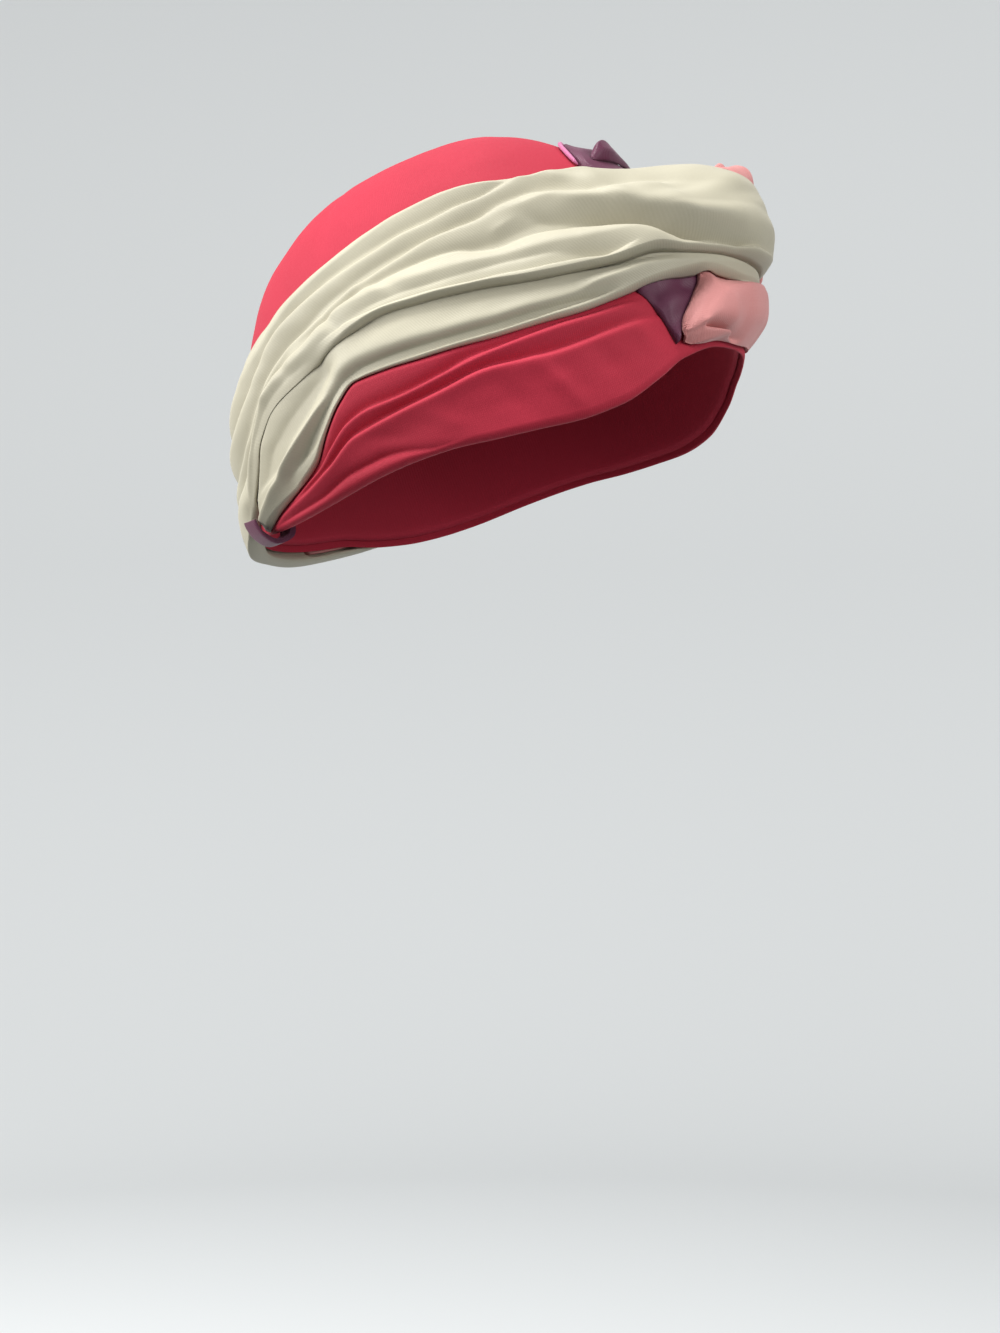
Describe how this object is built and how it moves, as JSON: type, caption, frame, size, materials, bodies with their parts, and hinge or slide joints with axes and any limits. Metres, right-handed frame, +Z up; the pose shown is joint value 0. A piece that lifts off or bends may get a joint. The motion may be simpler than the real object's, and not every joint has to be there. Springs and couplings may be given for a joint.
{
  "type": "turban headwrap",
  "caption": "Turban headwrap: a coral cap with a pleated brow band, wound in a sage and a rose sash that cross in a knot over the brow, with a plum border.",
  "frame": {"origin": "middle of the head opening, where the head goes in", "axes": "-Y is the front of the wearer, -X the wearer's right, +Z up; the rim rises 21 degrees towards the front"},
  "size_m": [0.1754, 0.2298, 0.1722],
  "materials": {
    "coral_cloth": "soft matt knit with a faint sheen",
    "sage_cloth": "fine ribbed twill with a soft sheen",
    "rose_cloth": "smooth satin-like weave",
    "plum_cloth": "smooth dark weave with a soft sheen",
    "violet_cloth": "bright rolled hem"
  },
  "bodies": {
    "root": {"crown": "coral_cloth", "brow_band": "coral_cloth", "sage_upper_wrap": "sage_cloth", "sage_lower_wrap": "sage_cloth", "rose_upper_wrap": "rose_cloth", "rose_lower_wrap": "rose_cloth", "rose_strand": "rose_cloth", "plum_border": "plum_cloth", "plum_fold": "plum_cloth", "plum_pleat": "plum_cloth", "border_hem": "violet_cloth", "nape_loop": "plum_cloth"}
  },
  "joints": []
}
